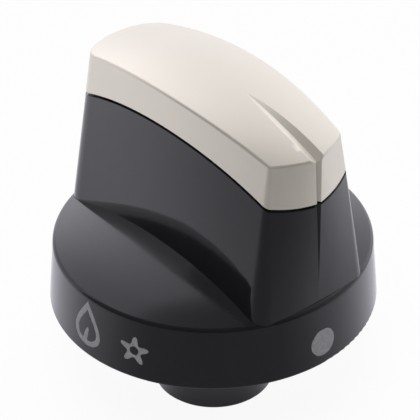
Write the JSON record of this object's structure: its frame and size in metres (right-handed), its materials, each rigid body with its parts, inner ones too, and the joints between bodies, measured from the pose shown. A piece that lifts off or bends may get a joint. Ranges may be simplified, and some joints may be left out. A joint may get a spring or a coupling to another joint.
{
  "type": "gas hob knob",
  "caption": "Rotary control knob with a round skirt, a full-width tapered grip bar, a crowned satin cap with a pointer groove, and a hub with a D-shaped spindle socket.",
  "frame": {"origin": "centre of the hub's lower face, on the spindle's axis", "axes": "+Z along the spindle towards the crown of the grip, -Y towards the pointer end of the grip, +X to the right seen from the pointer end"},
  "size_m": [0.0434, 0.0434, 0.0487],
  "materials": {
    "black_moulding": "gloss black heat-resistant plastic, with pale grey printed marks",
    "satin_cap": "satin metallised plastic, warm silver, finely brushed",
    "spring_steel": "plain spring steel"
  },
  "bodies": {
    "root": {"knob_body": "black_moulding", "grip_cap": "satin_cap", "spindle_clip": "spring_steel"}
  },
  "joints": []
}
